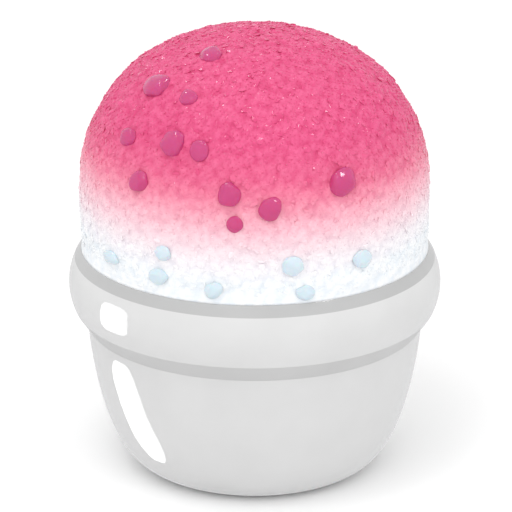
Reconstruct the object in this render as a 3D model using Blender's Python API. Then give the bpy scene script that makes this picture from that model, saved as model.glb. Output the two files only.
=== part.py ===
"""Kakigori: a dome of shaved ice with syrup, heaped in the glazed cup that it is served in.

Metres, +Z up. The origin is the centre of the cup's foot, on the surface that it stands on.
The front, where the coarse grains of ice are placed one by one, faces -Y.
"""

import math
import random

import bmesh
import bpy
from mathutils import Matrix, Vector, noise

# Cup: a round-bottomed bowl with a thick bevelled collar
FOOT_RADIUS = 0.0300
FOOT_RING_WIDTH = 0.0035
FOOT_RECESS = 0.0012
BODY_TOP_RADIUS = 0.0542
BODY_HEIGHT = 0.0479
BAND_LOW_RADIUS = 0.0583
BAND_LOW_HEIGHT = 0.0537
BAND_TOP_RADIUS = 0.0581
BAND_TOP_HEIGHT = 0.0701
BAND_BULGE = 0.0019
RIM_RADIUS = 0.0560
CUP_HEIGHT = 0.0735
MOUTH_RADIUS = 0.0546
BASE_THICKNESS = 0.0050
BOWL_FLOOR_RADIUS = 0.0240
BOWL_SIDE_RADIUS = 0.0502
BOWL_SIDE_HEIGHT = 0.0500
MOUTH_HEIGHT = 0.0660
SOFT_EDGE = 0.0006
FOOT_EDGE = 0.0005

# Both faces of the bowl's side follow the same curve, with its points closest at the foot
SIDE_LEAN = 1.35
SIDE_SWELL = 2.9
FOOT_CROWDING = 2.1

# Above the side, the bowl's inside flares to the mouth in a curve with two handles: where they
# are as shares of the way, and how far out the first one is moved
FLARE_LEAN = 0.35
FLARE_UPRIGHT = 0.6
FLARE_OUT = 0.0004

# Ice: nearly round seen from above, and a little boxier than an ellipse seen from the side
ICE_GAP = 0.0003
ICE_RADIUS = 0.0565
ICE_CENTRE_HEIGHT = 0.0918
ICE_RISE = 0.0531
ICE_DEPTH = 0.0890
ICE_SQUARENESS = 2.21
ICE_BRIM_HEIGHT = 0.0742
ICE_BRIM_RADIUS = 0.05575

# Low bumps of packed flakes, which fade out towards the rim
BUMP_HEIGHT = 0.0007
BUMP_LENGTH = 0.0075
BUMP_FADE = 0.0080

# Coarse grains: azimuth from the front towards +X and elevation above the ice's centre, in
# degrees, then length and width across the ice in millimetres and turn in degrees
SYRUP_GRAINS = (
    (-40, 67, 8.6, 6.9, -45),
    (-54, 48, 10.0, 8.8, -22),
    (-32, 47, 6.4, 5.6, -27),
    (-52, 29, 7.0, 5.8, 0),
    (-31, 31, 8.8, 8.3, -13),
    (-20, 30, 6.7, 5.8, -70),
    (30, 19, 9.2, 8.6, 29),
    (-41, 17, 7.3, 6.2, 43),
    (-8, 17, 7.7, 7.5, -72),
    (5, 13, 7.4, 7.1, 42),
    (-6, 8, 5.3, 5.0, 0),
)
CLEAR_GRAINS = (
    (-30, -4, 5.7, 4.7, 10),
    (36, -7, 7.1, 6.0, -19),
    (-53, -11, 8.2, 4.4, 4),
    (12, -6, 6.6, 6.3, -26),
    (-32, -12, 6.8, 5.4, 20),
    (-13, -14, 5.9, 5.0, 35),
    (16, -15, 6.2, 4.9, -12),
)
GRAIN_THICKNESS = 0.55
GRAIN_SUNK = 0.18
MILLIMETRE = 0.001

# The same grains go on round the back, drawn at random and kept apart. Their widths are shares
# of their lengths, and they turn at most this many degrees either way
BACK_SEED = 3
BACK_AZIMUTH = 116
BACK_HIGHEST = 38
BACK_SYRUP_GRAINS = 12
BACK_CLEAR_GRAINS = 8
SYRUP_LOWEST = 6
CLEAR_HIGHEST = -3
CLEAR_LOWEST = -15
LARGEST_GRAIN = 9.0
SMALLEST_GRAIN = 5.2
NARROWEST_GRAIN = 0.8
WIDEST_GRAIN = 0.95
MOST_GRAIN_TURN = 90
GRAIN_SPACING = 0.0135

# How finely the solids are faceted
CUP_SEGMENTS = 68
SIDE_STEPS = 10
BAND_STEPS = 6
HOLLOW_STEPS = 6
FLARE_STEPS = 3
ICE_SEGMENTS = 76
DOME_RINGS = 24
GRAIN_SIDES = 8
GRAIN_RINGS = 4
MERGE_DISTANCE = 0.00001
SHARP_ANGLE = math.radians(35)
# The small turn, in radians, that shows which way the ice's surface faces
TANGENT_TURN = 0.01


def clear_scene():
    for thing in list(bpy.data.objects):
        bpy.data.objects.remove(thing, do_unlink=True)


def material(name, colour, roughness):
    made = bpy.data.materials.new(name)
    made.use_nodes = True
    shader = made.node_tree.nodes["Principled BSDF"]
    shader.inputs["Base Color"].default_value = (*colour, 1.0)
    shader.inputs["Roughness"].default_value = roughness
    shader.inputs["Metallic"].default_value = 0.0
    return made


def point(radius, height):
    return Vector((radius, 0.0, height))


def side_curve(low_radius, low, high_radius, high, steps):
    """Points up a bowl's side, flat at the foot and upright at the top, closest at the foot."""
    for step in range(steps + 1):
        rise = (step / steps) ** FOOT_CROWDING
        swell = (1 - (1 - rise) ** SIDE_LEAN) ** (1 / SIDE_SWELL)
        yield point(low_radius + (high_radius - low_radius) * swell, low + (high - low) * rise)


def bowed_line(start, end, bulge, steps):
    """Points from start to end, bowed away from the axis by bulge in the middle."""
    for step in range(steps + 1):
        along = step / steps
        yield start.lerp(end, along) + point(4 * bulge * along * (1 - along), 0)


def flare(start, end, steps):
    """Points from a leaning start to an upright end, without either of them."""
    lean = start.lerp(end, FLARE_LEAN) + point(FLARE_OUT, 0)
    upright = point(end.x, start.lerp(end, FLARE_UPRIGHT).z)
    for step in range(1, steps):
        t = step / steps
        yield (
            start * (1 - t) ** 3
            + lean * 3 * t * (1 - t) ** 2
            + upright * 3 * t**2 * (1 - t)
            + end * t**3
        )


def rounded(before, corner, after, radius, steps=2):
    """An arc in place of a profile's corner."""
    back = (before - corner).normalized()
    ahead = (after - corner).normalized()
    half = back.angle(ahead) / 2
    centre = corner + (back + ahead).normalized() * radius / math.sin(half)
    first = (corner + back * radius / math.tan(half) - centre).normalized()
    last = (corner + ahead * radius / math.tan(half) - centre).normalized()
    return [centre + first.slerp(last, step / steps) * radius for step in range(steps + 1)]


def bowl_hollow(gap):
    """Profile of the bowl's inside, from the middle of its floor to its mouth, moved in by gap."""
    floor = BASE_THICKNESS + gap
    yield point(0, floor)
    side_foot = BOWL_FLOOR_RADIUS - gap
    side_top = point(BOWL_SIDE_RADIUS - gap, BOWL_SIDE_HEIGHT)
    mouth = point(MOUTH_RADIUS - gap, MOUTH_HEIGHT)
    yield from side_curve(side_foot, floor, side_top.x, side_top.z, HOLLOW_STEPS)
    yield from flare(side_top, mouth, FLARE_STEPS)
    yield mouth


def cup_profile():
    """The cup's whole section, from the recess under the foot out, up, over the rim and back in."""
    recess_radius = FOOT_RADIUS - FOOT_RING_WIDTH
    recess = point(recess_radius, FOOT_RECESS)
    ring_inside = point(recess_radius, 0)
    foot = point(FOOT_RADIUS, 0)
    body_top = point(BODY_TOP_RADIUS, BODY_HEIGHT)
    band_low = point(BAND_LOW_RADIUS, BAND_LOW_HEIGHT)
    band_top = point(BAND_TOP_RADIUS, BAND_TOP_HEIGHT)
    rim = point(RIM_RADIUS, CUP_HEIGHT)
    rim_inside = point(MOUTH_RADIUS, CUP_HEIGHT)

    side = list(side_curve(foot.x, foot.z, body_top.x, body_top.z, SIDE_STEPS))
    band = list(bowed_line(band_low, band_top, BAND_BULGE, BAND_STEPS))
    hollow = list(bowl_hollow(0))

    yield point(0, FOOT_RECESS)
    yield recess
    yield from rounded(recess, ring_inside, foot, FOOT_EDGE)
    yield from side[:-1]
    yield from rounded(side[-2], body_top, band_low, SOFT_EDGE)
    yield from rounded(body_top, band_low, band[1], SOFT_EDGE)
    yield from band[1:-1]
    yield from rounded(band[-2], band_top, rim, SOFT_EDGE)
    yield from rounded(band_top, rim, rim_inside, SOFT_EDGE)
    yield from rounded(rim, rim_inside, hollow[-1], SOFT_EDGE)
    yield from reversed(hollow)


def ice_surface(azimuth, elevation):
    """The smooth dome's surface in a direction from the ice's centre, both angles in radians."""
    rise = ICE_RISE if elevation > 0 else ICE_DEPTH
    across = abs(math.cos(elevation)) / ICE_RADIUS
    up = abs(math.sin(elevation)) / rise
    reach = (across**ICE_SQUARENESS + up**ICE_SQUARENESS) ** (-1 / ICE_SQUARENESS)
    level = reach * math.cos(elevation)
    return Vector((
        level * math.sin(azimuth),
        -level * math.cos(azimuth),
        ICE_CENTRE_HEIGHT + reach * math.sin(elevation),
    ))


def ice_profile():
    """The ice's whole section: the bowl's filling, the brim over the rim, and the dome."""
    brim_under = point(MOUTH_RADIUS - ICE_GAP, CUP_HEIGHT + ICE_GAP)
    brim = point(ICE_BRIM_RADIUS, ICE_BRIM_HEIGHT)
    yield from bowl_hollow(ICE_GAP)
    yield brim_under
    yield brim
    lowest = math.atan2(ICE_BRIM_HEIGHT - ICE_CENTRE_HEIGHT, ICE_BRIM_RADIUS)
    for ring in range(1, DOME_RINGS):
        surface = ice_surface(math.pi / 2, lowest + (math.pi / 2 - lowest) * ring / DOME_RINGS)
        yield point(surface.x, surface.z)
    yield point(0, ICE_CENTRE_HEIGHT + ICE_RISE)


def turned(name, profile, segments, look):
    """One object spun round Z from a section that starts and ends on the axis."""
    mesh = bpy.data.meshes.new(name)
    shape = bmesh.new()
    corners = [shape.verts.new(at) for at in profile]
    edges = [shape.edges.new(pair) for pair in zip(corners, corners[1:])]
    bmesh.ops.spin(
        shape,
        geom=corners + edges,
        cent=(0, 0, 0),
        axis=(0, 0, 1),
        angle=math.tau,
        steps=segments,
        use_merge=True,
    )
    bmesh.ops.remove_doubles(shape, verts=shape.verts[:], dist=MERGE_DISTANCE)
    bmesh.ops.recalc_face_normals(shape, faces=shape.faces[:])
    shape.to_mesh(mesh)
    shape.free()
    made = bpy.data.objects.new(name, mesh)
    bpy.context.scene.collection.objects.link(made)
    mesh.materials.append(look)
    mesh.shade_smooth()
    mesh.set_sharp_from_angle(angle=SHARP_ANGLE)
    return made


def add_bumps(ice):
    """Moves the dome's points in and out a little, more away from the rim."""
    centre = Vector((0, 0, ICE_CENTRE_HEIGHT))
    for vertex in ice.data.vertices:
        above = (vertex.co.z - ICE_BRIM_HEIGHT) / BUMP_FADE
        if above > 0:
            bump = noise.noise(vertex.co / BUMP_LENGTH) * BUMP_HEIGHT * min(above, 1)
            vertex.co += (vertex.co - centre).normalized() * bump


def grain(place, group):
    """One coarse grain: a rounded crystal, partly sunk in the dome where place puts it."""
    azimuth, elevation, length, width, turn = place
    azimuth = math.radians(azimuth)
    elevation = math.radians(elevation)
    at = ice_surface(azimuth, elevation)
    east = ice_surface(azimuth + TANGENT_TURN, elevation) - at
    north = ice_surface(azimuth, elevation + TANGENT_TURN) - at
    out = east.cross(north).normalized()
    east.normalize()
    frame = Matrix((east, out.cross(east), out)).transposed()
    size = Vector((length, width, width * GRAIN_THICKNESS)) * MILLIMETRE / 2

    mesh = bpy.data.meshes.new("grain")
    shape = bmesh.new()
    bmesh.ops.create_uvsphere(shape, u_segments=GRAIN_SIDES, v_segments=GRAIN_RINGS, radius=1)
    shape.to_mesh(mesh)
    shape.free()
    made = bpy.data.objects.new("grain", mesh)
    mesh.transform(
        Matrix.Translation(at - out * size.z * GRAIN_SUNK)
        @ frame.to_4x4()
        @ Matrix.Rotation(math.radians(turn), 4, "Z")
        @ Matrix.Diagonal((*size, 1))
    )
    group.objects.link(made)


def spread_round_back(count, lowest, highest, taken, draw):
    """Grains drawn round the back, the largest first, each clear of those before it."""
    for number in range(count):
        length = LARGEST_GRAIN + (SMALLEST_GRAIN - LARGEST_GRAIN) * number / (count - 1)
        while True:
            azimuth = draw.uniform(BACK_AZIMUTH, 360 - BACK_AZIMUTH)
            elevation = draw.uniform(lowest, highest)
            at = ice_surface(math.radians(azimuth), math.radians(elevation))
            if all((at - other).length > GRAIN_SPACING for other in taken):
                break
        taken.append(at)
        width = length * draw.uniform(NARROWEST_GRAIN, WIDEST_GRAIN)
        yield azimuth, elevation, length, width, draw.uniform(-MOST_GRAIN_TURN, MOST_GRAIN_TURN)


def fuse_grains(ice):
    """Joins every coarse grain to the ice, so that the heap is one solid."""
    draw = random.Random(BACK_SEED)
    taken = []
    group = bpy.data.collections.new("grains")
    bpy.context.scene.collection.children.link(group)
    back_syrup = spread_round_back(BACK_SYRUP_GRAINS, SYRUP_LOWEST, BACK_HIGHEST, taken, draw)
    back_clear = spread_round_back(BACK_CLEAR_GRAINS, CLEAR_LOWEST, CLEAR_HIGHEST, taken, draw)
    for place in (*SYRUP_GRAINS, *CLEAR_GRAINS, *back_syrup, *back_clear):
        grain(place, group)

    join = ice.modifiers.new("grains", "BOOLEAN")
    join.operation = "UNION"
    join.operand_type = "COLLECTION"
    join.collection = group
    join.solver = "EXACT"
    bpy.context.view_layer.objects.active = ice
    bpy.ops.object.modifier_apply(modifier=join.name)
    for made in list(group.objects):
        bpy.data.objects.remove(made, do_unlink=True)
    bpy.data.collections.remove(group)


def main():
    clear_scene()
    glaze = material("glaze", (0.745, 0.745, 0.745), 0.15)
    syrup_ice = material("syrup_ice", (0.88, 0.13, 0.29), 0.55)
    turned("cup", cup_profile(), CUP_SEGMENTS, glaze)
    ice = turned("shaved_ice", ice_profile(), ICE_SEGMENTS, syrup_ice)
    add_bumps(ice)
    fuse_grains(ice)


main()
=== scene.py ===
"""The looks of a kakigori: syrup-soaked shaved ice, heaped in a glazed cup.

Metres, +Z up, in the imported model's frame. The front, which the camera faces, is -Y.
Azimuths run from the front towards +X.
"""

import math
import random

import bmesh
import bpy
import numpy as np
from mathutils import Color, Matrix, Vector, noise


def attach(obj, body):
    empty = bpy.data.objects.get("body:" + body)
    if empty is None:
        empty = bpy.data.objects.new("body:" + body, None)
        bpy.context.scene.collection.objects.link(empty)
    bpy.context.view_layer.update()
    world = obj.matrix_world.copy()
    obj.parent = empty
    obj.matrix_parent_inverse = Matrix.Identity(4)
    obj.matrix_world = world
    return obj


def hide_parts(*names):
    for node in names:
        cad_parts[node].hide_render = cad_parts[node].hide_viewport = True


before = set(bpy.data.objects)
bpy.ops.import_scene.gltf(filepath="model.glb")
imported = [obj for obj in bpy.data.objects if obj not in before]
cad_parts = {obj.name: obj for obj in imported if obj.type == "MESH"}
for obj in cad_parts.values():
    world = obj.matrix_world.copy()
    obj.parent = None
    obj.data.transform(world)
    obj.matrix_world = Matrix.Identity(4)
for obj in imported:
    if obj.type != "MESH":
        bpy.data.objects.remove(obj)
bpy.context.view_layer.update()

MILLIMETRE = 0.001
WHITE = (1.0, 1.0, 1.0, 1.0)
BLACK = (0.0, 0.0, 0.0, 1.0)

# Camera: the photograph looks 20 degrees down from about a metre away
VIEW_ELEVATION = math.radians(20)
VIEW_DISTANCE = 1.0
VIEW_CENTRE = Vector((0, 0, 0.074))
AIM = Vector((0.0004, 0, 0.0690))
FIELD_WIDTH = 0.1652
CLIP_START = 0.05
CLIP_END = 20

# Cup: the sizes of the solid that it replaces
FOOT_RADIUS = 0.0300
FOOT_RING_WIDTH = 0.0035
FOOT_RECESS = 0.0012
BODY_TOP_RADIUS = 0.0542
BODY_HEIGHT = 0.0479
BAND_LOW_RADIUS = 0.0583
BAND_LOW_HEIGHT = 0.0537
BAND_TOP_RADIUS = 0.0581
BAND_TOP_HEIGHT = 0.0701
BAND_BULGE = 0.0019
RIM_RADIUS = 0.0560
CUP_HEIGHT = 0.0735
MOUTH_RADIUS = 0.0546
BASE_THICKNESS = 0.0050
BOWL_FLOOR_RADIUS = 0.0240
BOWL_SIDE_RADIUS = 0.0502
BOWL_SIDE_HEIGHT = 0.0500
MOUTH_HEIGHT = 0.0660
SOFT_EDGE = 0.0006
FOOT_EDGE = 0.0005

# Both faces of the bowl's side follow the same curve, with its points closest at the foot
SIDE_LEAN = 1.35
SIDE_SWELL = 2.9
FOOT_CROWDING = 2.1

# Above the side, the bowl's inside flares to the mouth in a curve with two handles: where they
# are as shares of the way, and how far out the first one is moved
FLARE_LEAN = 0.35
FLARE_UPRIGHT = 0.6
FLARE_OUT = 0.0004

# The cup's finishes, numbered as its material slots. The lip and the band's underside have darker glaze,
# which is painted shade
GLAZED, LIP_PAINTED_SHADE, UNDERSIDE_PAINTED_SHADE, BARE_FOOT = range(4)

# Ice: the form of the solid that it replaces, resting on the rim
ICE_GAP = 0.0003
ICE_RADIUS = 0.0565
ICE_CENTRE_HEIGHT = 0.0918
ICE_RISE = 0.0531
ICE_DEPTH = 0.0890
ICE_SQUARENESS = 2.21

# The brim: how far below the lip's top the ice leaves the bowl's wall, where the ice lies on the
# lip, its rounded edge, and how far above it the dome starts
LIP_DEPTH = 0.0008
BRIM_HEIGHT = 0.07352
BRIM_RADIUS = 0.0560
BRIM_EDGE_WIDTH = 0.0004
BRIM_EDGE_DROP = 0.00005
DOME_START = 0.0005

# How finely the turned forms are faceted
CUP_SEGMENTS = 288
SIDE_STEPS = 64
BAND_STEPS = 32
HOLLOW_STEPS = 30
FILLING_STEPS = 12
EDGE_STEPS = 8
ICE_SEGMENTS = 560
DOME_RINGS = 150
# The small steps that show which way a surface faces: up the cup, and in radians on the ice
SLOPE_STEP = 0.0001
TANGENT_TURN = 0.01

# Packed ice: its clumps, its kernels, how they are warped, and the frost on them
CLUMP_LENGTH = 0.0090
CLUMP_HEIGHT = 0.00060
KERNEL_LENGTH = 0.0024
KERNEL_HEIGHT = 0.00050
KERNEL_LEVEL = 0.30
WARP_LENGTH = 0.0045
WARP_REACH = 0.0007
# The warp is random until its noise has a seed
WARP_SEED = 1
FROST_LENGTH = 0.0012
FROST_HEIGHT = 0.00012
# The relief fades in from the brim over this height, after this share of it
RELIEF_FADE = 0.0040
RELIEF_START = 0.02
# The ice's tone, which paints shade into its crevices, and how much of it comes from the kernels and from
# the frost
MIDDLE_CREVICE_SHADE = 0.42
KERNEL_CREVICE_SHADE = 1.3
FROST_CREVICE_SHADE = 0.3

# Loose ice on the surface: pieces, longest and shortest length, tilt, how far each stands out as a
# share of its length, and how much of its tone is its own, at random, rather than painted crevice shade
SHAVINGS = dict(
    count=9000, longest=0.0023, shortest=0.0010, tilt=0.14, stand_out=-0.03, own_tone=0.5, seed=5
)
SHARDS = dict(
    count=1200, longest=0.0031, shortest=0.0018, tilt=0.19, stand_out=0.03, own_tone=0.3, seed=9
)
CRUMBS = dict(
    count=15000, longest=0.0011, shortest=0.0005, tilt=0.25, stand_out=0.0, own_tone=0.5, seed=6
)
GOLDEN_TURN = math.pi * (3 - math.sqrt(5))
STEEPEST = 1.2
LOOSE_SHAPES = 24
LOOSE_LOWEST = 0.0740
# The core lies deeper than the solid by the depth that the loose ice adds
LOOSE_DEPTH = 0.0005
# The share of its length that a loose piece keeps clear of a coarse grain
GRAIN_CLEARANCE = 0.3

# A flake, as shares of its length: the crown and keel that give it thickness, how far they sit off
# its middle, its bend and twist, its width, and its uneven rim. Ranges run from low to high
FLAKE_CORNERS = 8
FLAKE_CROWN = 0.085
FLAKE_KEEL = 0.32
FLAKE_OFF_CENTRE = 0.12
FLAKE_BEND = 0.35
FLAKE_TWIST = 0.3
FLAKE_WIDTHS = (0.5, 0.85)
FLAKE_REACHES = (0.72, 1.08)
FLAKE_UNEVENNESS = 0.25

# A crumb, as shares of its length
CRUMB_CORNERS = 8
CRUMB_HALF_WIDTH = 0.38
CRUMB_HALF_THICKNESSES = (0.2, 0.4)

# Coarse grains, as in the solid: azimuth and elevation in degrees, length and width in
# millimetres, and turn in degrees
SYRUP_GRAINS = (
    (-40, 67, 8.6, 6.9, -45),
    (-54, 48, 10.0, 8.8, -22),
    (-32, 47, 6.4, 5.6, -27),
    (-52, 29, 7.0, 5.8, 0),
    (-31, 31, 8.8, 8.3, -13),
    (-20, 30, 6.7, 5.8, -70),
    (30, 19, 9.2, 8.6, 29),
    (-41, 17, 7.3, 6.2, 43),
    (-8, 17, 7.7, 7.5, -72),
    (5, 13, 7.4, 7.1, 42),
    (-6, 8, 5.3, 5.0, 0),
)
CLEAR_GRAINS = (
    (-30, -4, 5.7, 4.7, 10),
    (36, -7, 7.1, 6.0, -19),
    (-53, -11, 8.2, 4.4, 4),
    (12, -6, 6.6, 6.3, -26),
    (-32, -12, 6.8, 5.4, 20),
    (-13, -14, 5.9, 5.0, 35),
    (16, -15, 6.2, 4.9, -12),
)
GRAIN_THICKNESS = 0.55
GRAIN_SUNK = 0.18
SYRUP_GRAIN_SEED = 7
CLEAR_GRAIN_SEED = 8
# A grain's facets: how many, how far from its middle at a radius of 1, and how softly they meet
GRAIN_FACETS = 22
NEAREST_FACET = 0.90
FARTHEST_FACET = 1.04
GRAIN_SOFTNESS = 14
GRAIN_REACH = 1.06
GRAIN_SUBDIVISIONS = 4

# The same grains go on round the back, drawn at random and kept apart. Their widths are shares
# of their lengths, and they turn at most this many degrees either way
BACK_SEED = 3
BACK_AZIMUTH = 116
BACK_HIGHEST = 38
BACK_SYRUP_GRAINS = 12
BACK_CLEAR_GRAINS = 8
SYRUP_LOWEST = 6
CLEAR_HIGHEST = -3
CLEAR_LOWEST = -15
LARGEST_GRAIN = 9.0
SMALLEST_GRAIN = 5.2
NARROWEST_GRAIN = 0.8
WIDEST_GRAIN = 0.95
MOST_GRAIN_TURN = 90
GRAIN_SPACING = 0.0135

# How the syrup has soaked down: height above the ice's centre, and the colours there, first in the
# crevices, deeper with gathered syrup and greyer with painted shade, and then on what stands proud
SOAK = (
    (0.0300, "da467a", "ec6594"),
    (0.0210, "de5481", "ef759b"),
    (0.0165, "e66d91", "f68ca8"),
    (0.0125, "eb87a2", "fba6ba"),
    (0.0060, "f1b4c4", "ffcdd8"),
    (0.0010, "f1d2dc", "ffe4ea"),
    (-0.0045, "f0e7ee", "fff9fb"),
    (-0.0110, "ebf1f7", "ffffff"),
)
# The soak line runs lower at the front and the back than at the sides, and is slightly uneven
SOAK_SAG = 0.0006
SOAK_LIFT = 0.0024
SOAK_UNEVENNESS = 0.0016
SYRUP_GRAIN = "d54384"
CLEAR_GRAIN = "dbedf6"
CLOUDY_GRAIN = (0.9, 0.9, 0.9, 1.0)
ICE_IOR = 1.31
LOOSE_ROUGHNESS = 0.14

# The cup's colours, the shares of them that the glaze pools between, how much its roughness
# varies, and the share of its colour that the clay's speckles have
GLAZE = "e0e0e0"
# A darker copy of the glaze: painted shade on the lip and under the band
SHADE_PAINTED_GLAZE = "c9c9c9"
BARE_CLAY = "d8d2c8"
GLAZE_POOLING = (0.975, 1.02)
GLAZE_UNEVENNESS = 0.25
CLAY_SPECKLE = 0.78

# The room: how far up its darker lower half ends and its light upper half starts, as shares of
# the way from straight down to straight up
ROOM_LOW = (0.80, 0.80, 0.81, 1.0)
ROOM_LOW_END = 0.42
ROOM_HIGH_START = 0.52
FLOOR_REACH = 6
FLOOR_COLOUR = (0.93, 0.93, 0.93, 1.0)

# Softboxes that face the object: azimuth and elevation in degrees, distance, width and power.
# The lamps light it, and the glints shine on its gloss alone
LAMPS = {
    "key": (-30, 42, 1.2, 0.9, 3.0),
    "fill": (55, 30, 1.2, 1.2, 2.6),
    "top": (-35, 70, 1.1, 0.3, 1.5),
}
GLINTS = {
    "front_glint": (-35, 70, 1.1, 0.16, 1.8),
    "left_glint": (-120, 64, 1.1, 0.16, 1.8),
    "right_glint": (85, 64, 1.1, 0.16, 1.8),
}

# The two highlights on the glaze are reflections of small glowing cards close to it. Each row is
# a height on the cup, with the azimuths in degrees of the highlight's left and right edges there
BAND_HIGHLIGHT = ((0.0584, -53.6, -41.1), (0.0674, -53.8, -41.3))
BODY_HIGHLIGHT = (
    (0.0120, -47.0, -35.0),
    (0.0180, -51.6, -36.4),
    (0.0280, -55.2, -41.2),
    (0.0380, -57.9, -44.0),
    (0.0455, -58.2, -45.8),
)
CARD_DISTANCE = 0.0003
CARD_GLOW = 5.5
CARD_SQUARENESS = 4
CARD_RINGS = 8
CARD_SPOKES = 48
# The beam of a card, as behind a grid: 1 less the cosine of its widest angle, and how softly it
# ends
BAND_BEAM = 0.56
BODY_BEAM = 0.72
BEAM_SOFTNESS = 0.025


def linear(code, share=1.0):
    """The linear colour of a hexadecimal screen colour, times a share."""
    colour = Color([int(code[at : at + 2], 16) / 255 for at in (0, 2, 4)])
    return (*(colour.from_srgb_to_scene_linear() * share), 1.0)


def point(radius, height):
    return Vector((radius, 0.0, height))


def direction(azimuth, elevation=0.0):
    """The way out from the axis at an azimuth and an elevation, both in radians."""
    level = math.cos(elevation)
    return Vector((math.sin(azimuth) * level, -math.cos(azimuth) * level, math.sin(elevation)))


def random_direction(draw):
    return Vector((draw.gauss(0, 1), draw.gauss(0, 1), draw.gauss(0, 1))).normalized()


# Profiles


def side_swell(rise):
    """How far a bowl's side has come out at a share of its height."""
    return (1 - (1 - rise) ** SIDE_LEAN) ** (1 / SIDE_SWELL)


def bow(bulge, along):
    """How far a bowed line stands out at a share of its length."""
    return 4 * bulge * along * (1 - along)


def superellipse(across, up, squareness):
    """How far the unit superellipse reaches, as a multiple of the way to a point."""
    return (across**squareness + up**squareness) ** (-1 / squareness)


def side_curve(low_radius, low, high_radius, high, steps):
    """Points up a bowl's side, flat at the foot and upright at the top, closest at the foot."""
    for step in range(steps + 1):
        rise = (step / steps) ** FOOT_CROWDING
        yield point(low_radius + (high_radius - low_radius) * side_swell(rise), low + (high - low) * rise)


def bowed_line(start, end, bulge, steps):
    """Points from start to end, bowed away from the axis by bulge in the middle."""
    for step in range(steps + 1):
        along = step / steps
        yield start.lerp(end, along) + point(bow(bulge, along), 0)


def flare(start, end, steps):
    """Points from a leaning start to an upright end, without either of them."""
    lean = start.lerp(end, FLARE_LEAN) + point(FLARE_OUT, 0)
    upright = point(end.x, start.lerp(end, FLARE_UPRIGHT).z)
    for step in range(1, steps):
        t = step / steps
        yield (
            start * (1 - t) ** 3
            + lean * 3 * t * (1 - t) ** 2
            + upright * 3 * t**2 * (1 - t)
            + end * t**3
        )


def rounded(before, corner, after, radius):
    """An arc in place of a profile's corner."""
    back = (before - corner).normalized()
    ahead = (after - corner).normalized()
    half = back.angle(ahead) / 2
    centre = corner + (back + ahead).normalized() * radius / math.sin(half)
    first = (corner + back * radius / math.tan(half) - centre).normalized()
    last = (corner + ahead * radius / math.tan(half) - centre).normalized()
    return [centre + first.slerp(last, step / EDGE_STEPS) * radius for step in range(EDGE_STEPS + 1)]


def bowl_hollow(gap, steps):
    """Profile of the bowl's inside, from the middle of its floor to its mouth, moved in by gap."""
    floor = BASE_THICKNESS + gap
    side_top = point(BOWL_SIDE_RADIUS - gap, BOWL_SIDE_HEIGHT)
    mouth = point(MOUTH_RADIUS - gap, MOUTH_HEIGHT)
    yield point(0, floor)
    yield from side_curve(BOWL_FLOOR_RADIUS - gap, floor, side_top.x, side_top.z, steps)
    yield from flare(side_top, mouth, steps // 2)
    yield mouth


def cup_profile():
    """The cup's section, and the finish at each of its points."""
    recess_radius = FOOT_RADIUS - FOOT_RING_WIDTH
    recess = point(recess_radius, FOOT_RECESS)
    ring_inside = point(recess_radius, 0)
    foot = point(FOOT_RADIUS, 0)
    body_top = point(BODY_TOP_RADIUS, BODY_HEIGHT)
    band_low = point(BAND_LOW_RADIUS, BAND_LOW_HEIGHT)
    band_top = point(BAND_TOP_RADIUS, BAND_TOP_HEIGHT)
    rim = point(RIM_RADIUS, CUP_HEIGHT)
    rim_inside = point(MOUTH_RADIUS, CUP_HEIGHT)

    side = list(side_curve(foot.x, foot.z, body_top.x, body_top.z, SIDE_STEPS))
    band = list(bowed_line(band_low, band_top, BAND_BULGE, BAND_STEPS))
    hollow = list(bowl_hollow(0, HOLLOW_STEPS))
    foot_ring = rounded(recess, ring_inside, foot, FOOT_EDGE)
    under_band = rounded(side[-2], body_top, band_low, SOFT_EDGE)
    band_foot = rounded(body_top, band_low, band[1], SOFT_EDGE)
    band_head = rounded(band[-2], band_top, rim, SOFT_EDGE)
    lip = rounded(band_top, rim, rim_inside, SOFT_EDGE)
    inner_lip = rounded(rim, rim_inside, hollow[-1], SOFT_EDGE)
    half = EDGE_STEPS // 2

    # The body's glaze turns the corner under the band for two points of its arc, and the arcs
    # take the place of the band's two points at each end
    stretches = (
        ([point(0, FOOT_RECESS), recess, *foot_ring], BARE_FOOT),
        (side[:-1], GLAZED),
        (under_band[:2], GLAZED),
        # From here round under the band the glaze is darker, as painted shade
        (under_band[2:], UNDERSIDE_PAINTED_SHADE),
        (band_foot[:half], UNDERSIDE_PAINTED_SHADE),
        (band_foot[half:], GLAZED),
        (band[2:-2], GLAZED),
        (band_head[:half], GLAZED),
        (band_head[half:], LIP_PAINTED_SHADE),
        (lip, LIP_PAINTED_SHADE),
        (inner_lip, GLAZED),
        (list(reversed(hollow)), GLAZED),
    )
    points = [at for stretch, _ in stretches for at in stretch]
    finishes = [finish for stretch, finish in stretches for _ in stretch]
    return points, finishes


def cup_side(azimuth, height):
    """A point on the outside of the cup's body or band, and the way out from it."""

    def radius(level):
        if level < BODY_HEIGHT:
            return FOOT_RADIUS + (BODY_TOP_RADIUS - FOOT_RADIUS) * side_swell(level / BODY_HEIGHT)
        along = (level - BAND_LOW_HEIGHT) / (BAND_TOP_HEIGHT - BAND_LOW_HEIGHT)
        straight = BAND_LOW_RADIUS + (BAND_TOP_RADIUS - BAND_LOW_RADIUS) * along
        return straight + bow(BAND_BULGE, along)

    slope = (radius(height + SLOPE_STEP) - radius(height - SLOPE_STEP)) / (2 * SLOPE_STEP)
    across = direction(azimuth)
    at = across * radius(height) + Vector((0, 0, height))
    return at, (across - Vector((0, 0, slope))).normalized()


def ice_surface(azimuth, elevation):
    """The smooth dome's surface in a direction from the ice's centre, both angles in radians."""
    rise = ICE_RISE if elevation > 0 else ICE_DEPTH
    across = abs(math.cos(elevation)) / ICE_RADIUS
    up = abs(math.sin(elevation)) / rise
    reach = superellipse(across, up, ICE_SQUARENESS)
    level = reach * math.cos(elevation)
    return Vector((
        level * math.sin(azimuth),
        -level * math.cos(azimuth),
        ICE_CENTRE_HEIGHT + reach * math.sin(elevation),
    ))


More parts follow.
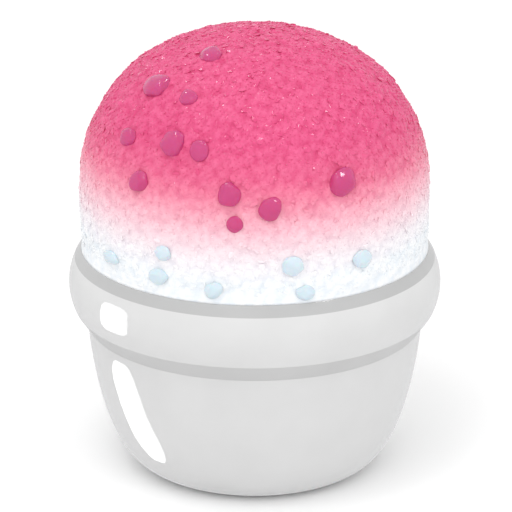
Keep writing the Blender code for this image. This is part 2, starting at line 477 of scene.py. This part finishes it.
def ice_frame(azimuth, elevation):
    """A point of the dome, and the matrix whose columns point east, north and out there."""
    at = ice_surface(azimuth, elevation)
    east = ice_surface(azimuth + TANGENT_TURN, elevation) - at
    north = ice_surface(azimuth, elevation + TANGENT_TURN) - at
    out = east.cross(north).normalized()
    east.normalize()
    return at, Matrix((east, out.cross(east), out)).transposed()


# Meshes


def add_object(name, data):
    made = bpy.data.objects.new(name, data)
    bpy.context.scene.collection.objects.link(made)
    return made


def new_object(name, vertices, faces, smooth=True):
    mesh = bpy.data.meshes.new(name)
    mesh.from_pydata([tuple(at) for at in vertices], [], faces)
    mesh.update()
    if smooth:
        mesh.shade_smooth()
    return add_object(name, mesh)


def turned_faces(rings, segments):
    """Faces between a first pole, rings of points and a last pole, wound to face out."""

    def corner(ring, segment):
        return 1 + ring * segments + segment % segments

    first = 0
    last = 1 + rings * segments
    faces = [(first, corner(0, s + 1), corner(0, s)) for s in range(segments)]
    for r in range(rings - 1):
        for s in range(segments):
            faces.append((corner(r, s), corner(r, s + 1), corner(r + 1, s + 1), corner(r + 1, s)))
    faces += [(last, corner(rings - 1, s), corner(rings - 1, s + 1)) for s in range(segments)]
    return faces


def turned(name, profile, segments):
    """One smooth object turned from a section that starts and ends on the axis."""
    vertices = [profile[0]]
    for at in profile[1:-1]:
        for s in range(segments):
            angle = math.tau * s / segments
            vertices.append((at.x * math.sin(angle), -at.x * math.cos(angle), at.z))
    vertices.append(profile[-1])
    return new_object(name, vertices, turned_faces(len(profile) - 2, segments))


def relief(at):
    """How far the packed ice stands out at a point of the dome, and its tone, which paints shade in a
    crevice.
    """
    warped = at + noise.noise_vector(at / WARP_LENGTH) * WARP_REACH
    clump = noise.noise(at / CLUMP_LENGTH)
    kernel = KERNEL_LEVEL - noise.voronoi(warped / KERNEL_LENGTH)[0][0] ** 2
    frost = noise.noise(at / FROST_LENGTH)
    height = clump * CLUMP_HEIGHT + kernel * KERNEL_HEIGHT + frost * FROST_HEIGHT
    return height, min(max(MIDDLE_CREVICE_SHADE + KERNEL_CREVICE_SHADE * kernel + FROST_CREVICE_SHADE * frost, 0.0), 1.0)


def add_crevice_shade_and_tone(piece, crevice_shades_and_tones):
    attribute = piece.data.attributes.new("crevice_shade_and_tone", "FLOAT", "POINT")
    attribute.data.foreach_set("value", crevice_shades_and_tones)


def ice_core():
    """The cup's filling and the dome, with the relief of packed ice."""
    profile = list(bowl_hollow(ICE_GAP, FILLING_STEPS))
    profile.append(point(MOUTH_RADIUS - ICE_GAP, CUP_HEIGHT - LIP_DEPTH))
    profile.append(point(MOUTH_RADIUS, BRIM_HEIGHT))
    profile.append(point(BRIM_RADIUS - BRIM_EDGE_WIDTH, BRIM_HEIGHT))
    profile.append(point(BRIM_RADIUS, BRIM_HEIGHT - BRIM_EDGE_DROP))
    lowest = math.atan2(BRIM_HEIGHT + DOME_START - ICE_CENTRE_HEIGHT, BRIM_RADIUS)
    for ring in range(DOME_RINGS):
        surface = ice_surface(math.pi / 2, lowest + (math.pi / 2 - lowest) * ring / DOME_RINGS)
        profile.append(point(surface.x, surface.z))
    profile.append(point(0, ICE_CENTRE_HEIGHT + ICE_RISE))
    core = turned("ice_core", profile, ICE_SEGMENTS)

    centre = Vector((0, 0, ICE_CENTRE_HEIGHT))
    # Each point keeps its tone, which paints shade into the relief's crevices
    crevice_shades_and_tones = []
    for vertex in core.data.vertices:
        height, crevice_shade_and_tone = relief(vertex.co)
        above = (vertex.co.z - BRIM_HEIGHT) / RELIEF_FADE
        if above > RELIEF_START:
            out = (vertex.co - centre).normalized()
            vertex.co += out * (height - LOOSE_DEPTH) * min(above, 1)
        crevice_shades_and_tones.append(crevice_shade_and_tone)
    core.data.update()
    add_crevice_shade_and_tone(core, crevice_shades_and_tones)
    return core


def shaving(draw):
    """A thin bent flake with a sharp uneven rim, about 1 long: its corners and its triangles."""
    bend = draw.uniform(-FLAKE_BEND, FLAKE_BEND)
    twist = draw.uniform(-FLAKE_TWIST, FLAKE_TWIST)
    width = draw.uniform(*FLAKE_WIDTHS)
    corners = []
    for number in range(FLAKE_CORNERS):
        place = number + draw.uniform(-FLAKE_UNEVENNESS, FLAKE_UNEVENNESS)
        angle = math.tau * place / FLAKE_CORNERS
        reach = draw.uniform(*FLAKE_REACHES) / 2
        x = reach * math.cos(angle)
        y = reach * math.sin(angle) * width
        corners.append((x, y, bend * x * x + twist * x * y))
    off = draw.uniform(-FLAKE_OFF_CENTRE, FLAKE_OFF_CENTRE)
    corners.append((off, off / 2, FLAKE_CROWN))
    corners.append((off, off / 2, -FLAKE_KEEL))
    crown = FLAKE_CORNERS
    keel = FLAKE_CORNERS + 1
    triangles = []
    for number in range(FLAKE_CORNERS):
        after = (number + 1) % FLAKE_CORNERS
        triangles.append((number, after, crown))
        triangles.append((after, number, keel))
    return np.array(corners), np.array(triangles)


def crumb(draw):
    """A small angular lump, about 1 long: its corners and its triangles."""
    shape = bmesh.new()
    half_thickness = draw.uniform(*CRUMB_HALF_THICKNESSES)
    for _ in range(CRUMB_CORNERS):
        out = random_direction(draw)
        shape.verts.new((out.x / 2, out.y * CRUMB_HALF_WIDTH, out.z * half_thickness))
    bmesh.ops.convex_hull(shape, input=shape.verts[:])
    inside = [vertex for vertex in shape.verts if not vertex.link_faces]
    bmesh.ops.delete(shape, geom=inside, context="VERTS")
    bmesh.ops.triangulate(shape, faces=shape.faces[:])
    bmesh.ops.recalc_face_normals(shape, faces=shape.faces[:])
    shape.verts.index_update()
    corners = np.array([vertex.co for vertex in shape.verts])
    triangles = np.array([[vertex.index for vertex in face.verts] for face in shape.faces])
    shape.free()
    return corners, triangles


def loose_ice(name, make_shape, grains, count, longest, shortest, tilt, stand_out, own_tone, seed):
    """Small pieces of ice scattered evenly over the dome, partly sunk in it, as one object."""
    draw = random.Random(seed)
    shapes = [make_shape(draw) for _ in range(LOOSE_SHAPES)]
    grain_places = [
        (ice_surface(math.radians(azimuth), math.radians(elevation)), (length + width) * MILLIMETRE / 4)
        for azimuth, elevation, length, width, _ in grains
    ]
    lowest = (LOOSE_LOWEST - ICE_CENTRE_HEIGHT) / ICE_RADIUS
    vertices, faces, crevice_shades_and_tones, start = [], [], [], 0
    for number in range(count):
        length = longest * (shortest / longest) ** draw.random()
        level = lowest + (1 - lowest) * (number + draw.random()) / count
        at, axes = ice_frame(number * GOLDEN_TURN + seed, math.asin(level))
        turn = Matrix.Rotation(draw.uniform(0, math.tau), 3, "Z")
        leans = [min(max(draw.gauss(0, 1), -STEEPEST), STEEPEST) * tilt for _ in range(2)]
        lean = Matrix.Rotation(leans[0], 3, "X") @ Matrix.Rotation(leans[1], 3, "Y")
        corners, triangles = shapes[draw.randrange(LOOSE_SHAPES)]
        drawn_tone = draw.random()
        if any((at - place).length < reach + length * GRAIN_CLEARANCE for place, reach in grain_places):
            continue
        if at.z - length / 2 < BRIM_HEIGHT:
            continue
        height, crevice_shade_and_tone = relief(at)
        place = at + axes.col[2] * (height + length * stand_out - LOOSE_DEPTH)
        vertices.append(corners * length @ np.array(axes @ lean @ turn).T + np.array(place))
        faces.append(triangles + start)
        # A piece takes the painted crevice shade at its place, mixed with a random tone of its own
        crevice_shades_and_tones += [crevice_shade_and_tone + (drawn_tone - crevice_shade_and_tone) * own_tone] * len(corners)
        start += len(corners)
    made = new_object(name, np.concatenate(vertices), np.concatenate(faces).tolist(), smooth=False)
    add_crevice_shade_and_tone(made, crevice_shades_and_tones)
    return made


def spread_round_back(count, lowest, highest, taken, draw):
    """Grains drawn round the back, the largest first, each clear of those before it."""
    for number in range(count):
        length = LARGEST_GRAIN + (SMALLEST_GRAIN - LARGEST_GRAIN) * number / (count - 1)
        while True:
            azimuth = draw.uniform(BACK_AZIMUTH, 360 - BACK_AZIMUTH)
            elevation = draw.uniform(lowest, highest)
            at = ice_surface(math.radians(azimuth), math.radians(elevation))
            if all((at - other).length > GRAIN_SPACING for other in taken):
                break
        taken.append(at)
        width = length * draw.uniform(NARROWEST_GRAIN, WIDEST_GRAIN)
        yield azimuth, elevation, length, width, draw.uniform(-MOST_GRAIN_TURN, MOST_GRAIN_TURN)


def all_grains():
    """The places of every grain soaked with syrup, and of every clear one."""
    draw = random.Random(BACK_SEED)
    taken = []
    back_syrup = list(spread_round_back(BACK_SYRUP_GRAINS, SYRUP_LOWEST, BACK_HIGHEST, taken, draw))
    back_clear = list(spread_round_back(BACK_CLEAR_GRAINS, CLEAR_LOWEST, CLEAR_HIGHEST, taken, draw))
    return [*SYRUP_GRAINS, *back_syrup], [*CLEAR_GRAINS, *back_clear]


def coarse_grains(name, places, seed):
    """Crystals with soft facets, partly sunk in the dome, as one object."""
    draw = random.Random(seed)
    shape = bmesh.new()
    for azimuth, elevation, length, width, turn in places:
        at, axes = ice_frame(math.radians(azimuth), math.radians(elevation))
        size = Vector((length, width, width * GRAIN_THICKNESS)) * MILLIMETRE / 2
        facets = [
            random_direction(draw) / draw.uniform(NEAREST_FACET, FARTHEST_FACET)
            for _ in range(GRAIN_FACETS)
        ]
        one = bmesh.new()
        bmesh.ops.create_icosphere(one, subdivisions=GRAIN_SUBDIVISIONS, radius=1)
        for vertex in one.verts:
            leaning = sum(max(vertex.co.dot(facet), 0) ** GRAIN_SOFTNESS for facet in facets)
            vertex.co *= min(leaning ** (-1 / GRAIN_SOFTNESS), GRAIN_REACH)
        placed = (
            Matrix.Translation(at - axes.col[2] * size.z * GRAIN_SUNK)
            @ axes.to_4x4()
            @ Matrix.Rotation(math.radians(turn), 4, "Z")
            @ Matrix.Diagonal((*size, 1))
        )
        bmesh.ops.transform(one, matrix=placed, verts=one.verts[:])
        part = bpy.data.meshes.new("part")
        one.to_mesh(part)
        one.free()
        shape.from_mesh(part)
        bpy.data.meshes.remove(part)
    mesh = bpy.data.meshes.new(name)
    shape.to_mesh(mesh)
    shape.free()
    mesh.shade_smooth()
    return add_object(name, mesh)


# Materials


class Shader:
    """A material's node tree, with short calls for the nodes that the finishes share."""

    def __init__(self, name):
        self.material = bpy.data.materials.new(name)
        self.material.use_nodes = True
        self.nodes = self.material.node_tree.nodes
        self.links = self.material.node_tree.links
        self.surface = self.nodes["Principled BSDF"]
        self.place = self.nodes.new("ShaderNodeTexCoord").outputs["Object"]

    def set(self, **values):
        """Sets what is the same all over the surface, by the names of its sockets."""
        for name, value in values.items():
            self.surface.inputs[name.replace("_", " ")].default_value = value

    def colour(self, source):
        self.link(source, self.surface.inputs["Base Color"])

    def roughness(self, source):
        self.link(source, self.surface.inputs["Roughness"])

    def node(self, kind, **settings):
        made = self.nodes.new(kind)
        for name, value in settings.items():
            setattr(made, name, value)
        return made

    def link(self, start, end):
        self.links.new(start, end)

    def plug(self, value, end):
        """Gives a socket another socket's value, or a fixed one."""
        if isinstance(value, bpy.types.NodeSocket):
            self.link(value, end)
        else:
            end.default_value = value

    def noise(self, size, detail=2.0, roughness=0.5):
        """Noise whose features are about size metres across."""
        made = self.node("ShaderNodeTexNoise")
        made.inputs["Scale"].default_value = 1 / size
        made.inputs["Detail"].default_value = detail
        made.inputs["Roughness"].default_value = roughness
        self.link(self.place, made.inputs["Vector"])
        return made.outputs["Fac"]

    def ramp(self, value, stops):
        made = self.node("ShaderNodeValToRGB")
        elements = made.color_ramp.elements
        while len(elements) < len(stops):
            elements.new(0.5)
        for element, (position, colour) in zip(elements, stops):
            element.position = position
            element.color = colour
        self.link(value, made.inputs["Fac"])
        return made.outputs["Color"]

    def between(self, value, low, high, start=0.0, end=1.0):
        """A value of start to end mapped to low and high."""
        made = self.node("ShaderNodeMapRange")
        made.inputs["From Min"].default_value = start
        made.inputs["From Max"].default_value = end
        made.inputs["To Min"].default_value = low
        made.inputs["To Max"].default_value = high
        self.link(value, made.inputs["Value"])
        return made.outputs["Result"]

    def combine(self, operation, first, second):
        made = self.node("ShaderNodeMath", operation=operation)
        self.plug(first, made.inputs[0])
        self.plug(second, made.inputs[1])
        return made.outputs["Value"]

    def mix(self, share, first, second):
        """Two colours, mixed by a share."""
        made = self.node("ShaderNodeMix", data_type="RGBA")
        for socket, value in (("Factor_Float", share), ("A_Color", first), ("B_Color", second)):
            self.plug(value, next(s for s in made.inputs if s.identifier == socket))
        return next(s for s in made.outputs if s.identifier == "Result_Color")

    def bump(self, height, depth):
        made = self.node("ShaderNodeBump")
        made.inputs["Distance"].default_value = depth
        made.inputs["Strength"].default_value = 1.0
        self.link(height, made.inputs["Height"])
        self.link(made.outputs["Normal"], self.surface.inputs["Normal"])


def soak_colour(shader, share):
    """The syrup's colour by height, with a slightly uneven edge, and by tone, darker in crevices as
    painted shade.
    """
    split = shader.node("ShaderNodeSeparateXYZ")
    shader.link(shader.place, split.inputs["Vector"])
    patches = shader.noise(size=0.006, detail=3.0)
    sag = shader.between(patches, SOAK_SAG - SOAK_UNEVENNESS, SOAK_SAG + SOAK_UNEVENNESS)
    sideways = shader.combine("MULTIPLY", split.outputs["X"], split.outputs["X"])
    lift = shader.combine("MULTIPLY", sideways, -SOAK_LIFT / ICE_RADIUS**2)
    height = shader.combine("ADD", shader.combine("ADD", split.outputs["Z"], sag), lift)
    low = ICE_CENTRE_HEIGHT + SOAK[-1][0]
    high = ICE_CENTRE_HEIGHT + SOAK[0][0]
    along = shader.between(height, 0.0, 1.0, start=low, end=high)
    colours = []
    for which in (1, 2):
        stops = [
            ((ICE_CENTRE_HEIGHT + row[0] - low) / (high - low), linear(row[which], share))
            for row in reversed(SOAK)
        ]
        colours.append(shader.ramp(along, stops))
    # The tone mixes in the crevice colours: deeper syrup gathered there, and painted shade
    crevice_shade_and_tone = shader.node("ShaderNodeAttribute", attribute_name="crevice_shade_and_tone").outputs["Fac"]
    return shader.mix(crevice_shade_and_tone, *colours)


def packed_ice():
    """Fine ice, matt and cloudy, soaked with syrup from above."""
    shader = Shader("packed_ice")
    shader.colour(soak_colour(shader, share=0.86))
    shader.roughness(shader.between(shader.noise(size=0.0018), low=0.35, high=0.62))
    shader.set(IOR=ICE_IOR)
    shader.bump(shader.noise(size=0.0006, roughness=0.6), depth=0.00012)
    return shader.material


def loose_flake_ice(name):
    """Loose ice: the same syrup, but glossier."""
    shader = Shader(name)
    shader.colour(soak_colour(shader, share=0.87))
    shader.set(IOR=ICE_IOR, Roughness=LOOSE_ROUGHNESS)
    return shader.material


def grain_ice(name, code, share, paler):
    """A coarse crystal with a smooth wet surface, paler where it is cloudy inside."""
    shader = Shader(name)
    cloud = shader.between(shader.noise(size=0.0022), low=0.0, high=paler)
    shader.colour(shader.mix(cloud, linear(code, share), CLOUDY_GRAIN))
    shader.set(IOR=ICE_IOR, Roughness=0.16, Subsurface_Weight=0.3, Subsurface_Scale=0.0012)
    shader.set(Coat_Weight=0.4, Coat_Roughness=0.04)
    shader.bump(shader.noise(size=0.0016, detail=1.0), depth=0.00006)
    return shader.material


def glaze(name, code, share, roughness):
    """Gloss glaze over stoneware: faint pooling in the colour, and a very slightly rippled surface."""
    shader = Shader(name)
    deep, pale = (linear(code, share * part) for part in GLAZE_POOLING)
    shader.colour(shader.ramp(shader.noise(size=0.018, detail=3.0), ((0.3, deep), (0.7, pale))))
    smoothest = roughness * (1 - GLAZE_UNEVENNESS)
    roughest = roughness * (1 + GLAZE_UNEVENNESS)
    shader.roughness(shader.between(shader.noise(size=0.006), smoothest, roughest))
    shader.set(IOR=1.5)
    shader.bump(shader.noise(size=0.012, detail=1.0), depth=0.00003)
    return shader.material


def bare_clay():
    """The unglazed foot: matt, speckled and finely gritty."""
    shader = Shader("bare_clay")
    grit = shader.noise(size=0.0009, detail=3.0, roughness=0.7)
    speckle = linear(BARE_CLAY, CLAY_SPECKLE)
    shader.colour(shader.ramp(grit, ((0.35, speckle), (0.55, linear(BARE_CLAY)))))
    shader.set(Roughness=0.85)
    shader.bump(shader.noise(size=0.0005), depth=0.00008)
    return shader.material


# Stage


def pale_floor():
    reach = FLOOR_REACH
    corners = [(-reach, -reach, 0), (reach, -reach, 0), (reach, reach, 0), (-reach, reach, 0)]
    floor = new_object("floor", corners, [(0, 1, 2, 3)], smooth=False)
    shader = Shader("pale_floor")
    shader.set(Base_Color=FLOOR_COLOUR, Roughness=0.9, Specular_IOR_Level=0.0)
    floor.data.materials.append(shader.material)
    floor.visible_glossy = False


def room_light():
    """Even light from all round, a little darker below, where gloss looks through the floor."""
    world = bpy.data.worlds.new("room")
    world.use_nodes = True
    nodes = world.node_tree.nodes
    links = world.node_tree.links
    split = nodes.new("ShaderNodeSeparateXYZ")
    links.new(nodes.new("ShaderNodeTexCoord").outputs["Generated"], split.inputs["Vector"])
    up = nodes.new("ShaderNodeMapRange")
    up.inputs["From Min"].default_value = -1.0
    links.new(split.outputs["Z"], up.inputs["Value"])
    ramp = nodes.new("ShaderNodeValToRGB")
    low, high = ramp.color_ramp.elements
    low.position = ROOM_LOW_END
    low.color = ROOM_LOW
    high.position = ROOM_HIGH_START
    high.color = WHITE
    links.new(up.outputs["Result"], ramp.inputs["Fac"])
    links.new(ramp.outputs["Color"], nodes["Background"].inputs["Color"])
    nodes["Background"].inputs["Strength"].default_value = 1.0
    bpy.context.scene.world = world


def soft_light(name, azimuth, elevation, distance, width, power, glints):
    """A square softbox that faces the object and lights it, or only glints on its gloss."""
    data = bpy.data.lights.new(name, "AREA")
    data.energy = power
    data.size = width
    light = add_object(name, data)
    back = direction(math.radians(azimuth), math.radians(elevation))
    light.location = VIEW_CENTRE + back * distance
    light.rotation_euler = back.to_track_quat("Z", "Y").to_euler()
    light.visible_diffuse = not glints
    light.visible_glossy = glints


def reflector_card(name, edges, beam, eye):
    """A glowing card that the glaze reflects to the camera as one crisp highlight."""
    low, high = edges[0][0], edges[-1][0]
    heights, lefts, rights = zip(*edges)
    vertices = []
    for ring in range(CARD_RINGS + 1):
        for spoke in range(CARD_SPOKES):
            angle = math.tau * spoke / CARD_SPOKES
            reach = superellipse(abs(math.cos(angle)), abs(math.sin(angle)), CARD_SQUARENESS)
            reach *= ring / CARD_RINGS
            height = (low + high) / 2 + (high - low) / 2 * reach * math.sin(angle)
            left = np.interp(height, heights, lefts)
            right = np.interp(height, heights, rights)
            azimuth = math.radians((left + right) / 2 + (right - left) / 2 * reach * math.cos(angle))
            at, out = cup_side(azimuth, height)
            view = (eye - at).normalized()
            vertices.append(at + (out * (2 * out.dot(view)) - view) * CARD_DISTANCE)
    faces = []
    for ring in range(CARD_RINGS):
        for spoke in range(CARD_SPOKES):
            after = (spoke + 1) % CARD_SPOKES
            inner, outer = ring * CARD_SPOKES, (ring + 1) * CARD_SPOKES
            faces.append((inner + spoke, outer + spoke, outer + after, inner + after))
    card = new_object(name, vertices, faces)

    shader = Shader(name)
    shader.set(Base_Color=BLACK, Emission_Color=WHITE, Emission_Strength=CARD_GLOW)
    facing = shader.node("ShaderNodeLayerWeight").outputs["Facing"]
    within = shader.between(facing, 1.0, 0.0, start=beam - BEAM_SOFTNESS, end=beam + BEAM_SOFTNESS)
    inward = shader.node("ShaderNodeNewGeometry").outputs["Backfacing"]
    shader.link(shader.combine("MULTIPLY", inward, within), shader.surface.inputs["Alpha"])
    card.data.materials.append(shader.material)
    card.visible_camera = False
    card.visible_diffuse = False
    card.visible_transmission = False
    card.visible_volume_scatter = False
    card.visible_shadow = False


def photo_camera():
    data = bpy.data.cameras.new("photo_camera")
    data.lens = data.sensor_width * VIEW_DISTANCE / FIELD_WIDTH
    data.clip_start = CLIP_START
    data.clip_end = CLIP_END
    camera = add_object("photo_camera", data)
    back = direction(0, VIEW_ELEVATION)
    camera.location = VIEW_CENTRE + back * VIEW_DISTANCE + Vector((AIM.x, 0, 0))
    camera.rotation_euler = (AIM - camera.location).to_track_quat("-Z", "Y").to_euler()
    bpy.context.scene.camera = camera
    return camera


def build_stage():
    bpy.context.scene.view_settings.view_transform = "Standard"
    camera = photo_camera()
    pale_floor()
    room_light()
    for name, lamp in LAMPS.items():
        soft_light(name, *lamp, glints=False)
    for name, glint in GLINTS.items():
        soft_light(name, *glint, glints=True)
    reflector_card("band_card", BAND_HIGHLIGHT, BAND_BEAM, camera.location)
    reflector_card("body_card", BODY_HIGHLIGHT, BODY_BEAM, camera.location)


def glazed_cup():
    """The cup, with a finish for each stretch of its section."""
    points, finishes = cup_profile()
    cup = turned("glazed_cup", points, CUP_SEGMENTS)
    cup.data.materials.append(glaze("glaze", GLAZE, share=0.80, roughness=0.08))
    # The lip and the band's underside get darker copies of the glaze as painted shade
    cup.data.materials.append(glaze("lip_painted_shade_glaze", SHADE_PAINTED_GLAZE, share=0.72, roughness=0.08))
    cup.data.materials.append(glaze("underside_painted_shade_glaze", SHADE_PAINTED_GLAZE, share=0.84, roughness=0.40))
    cup.data.materials.append(bare_clay())
    # The faces come ring by ring, and a ring has the finish of the point that it leads to
    for number, face in enumerate(cup.data.polygons):
        face.material_index = finishes[number // CUP_SEGMENTS + 1]
    return cup


def main():
    noise.seed_set(WARP_SEED)
    build_stage()
    cup = glazed_cup()
    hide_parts("cup")

    syrup_places, clear_places = all_grains()
    all_places = syrup_places + clear_places
    core = ice_core()
    core.data.materials.append(packed_ice())
    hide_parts("shaved_ice")
    shavings = loose_ice("ice_shavings", shaving, all_places, **SHAVINGS)
    shavings.data.materials.append(loose_flake_ice("shaving_ice"))
    shards = loose_ice("ice_shards", shaving, all_places, **SHARDS)
    shards.data.materials.append(loose_flake_ice("shard_ice"))
    crumbs = loose_ice("ice_crumbs", crumb, all_places, **CRUMBS)
    crumbs.data.materials.append(loose_flake_ice("crumb_ice"))
    syrup_grains = coarse_grains("syrup_grains", syrup_places, SYRUP_GRAIN_SEED)
    syrup_grains.data.materials.append(grain_ice("syrup_grain_ice", SYRUP_GRAIN, share=0.75, paler=0.02))
    clear_grains = coarse_grains("clear_grains", clear_places, CLEAR_GRAIN_SEED)
    clear_grains.data.materials.append(grain_ice("clear_grain_ice", CLEAR_GRAIN, share=0.78, paler=0.06))

    for piece in (cup, core, shavings, shards, crumbs, syrup_grains, clear_grains):
        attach(piece, "root")


main()
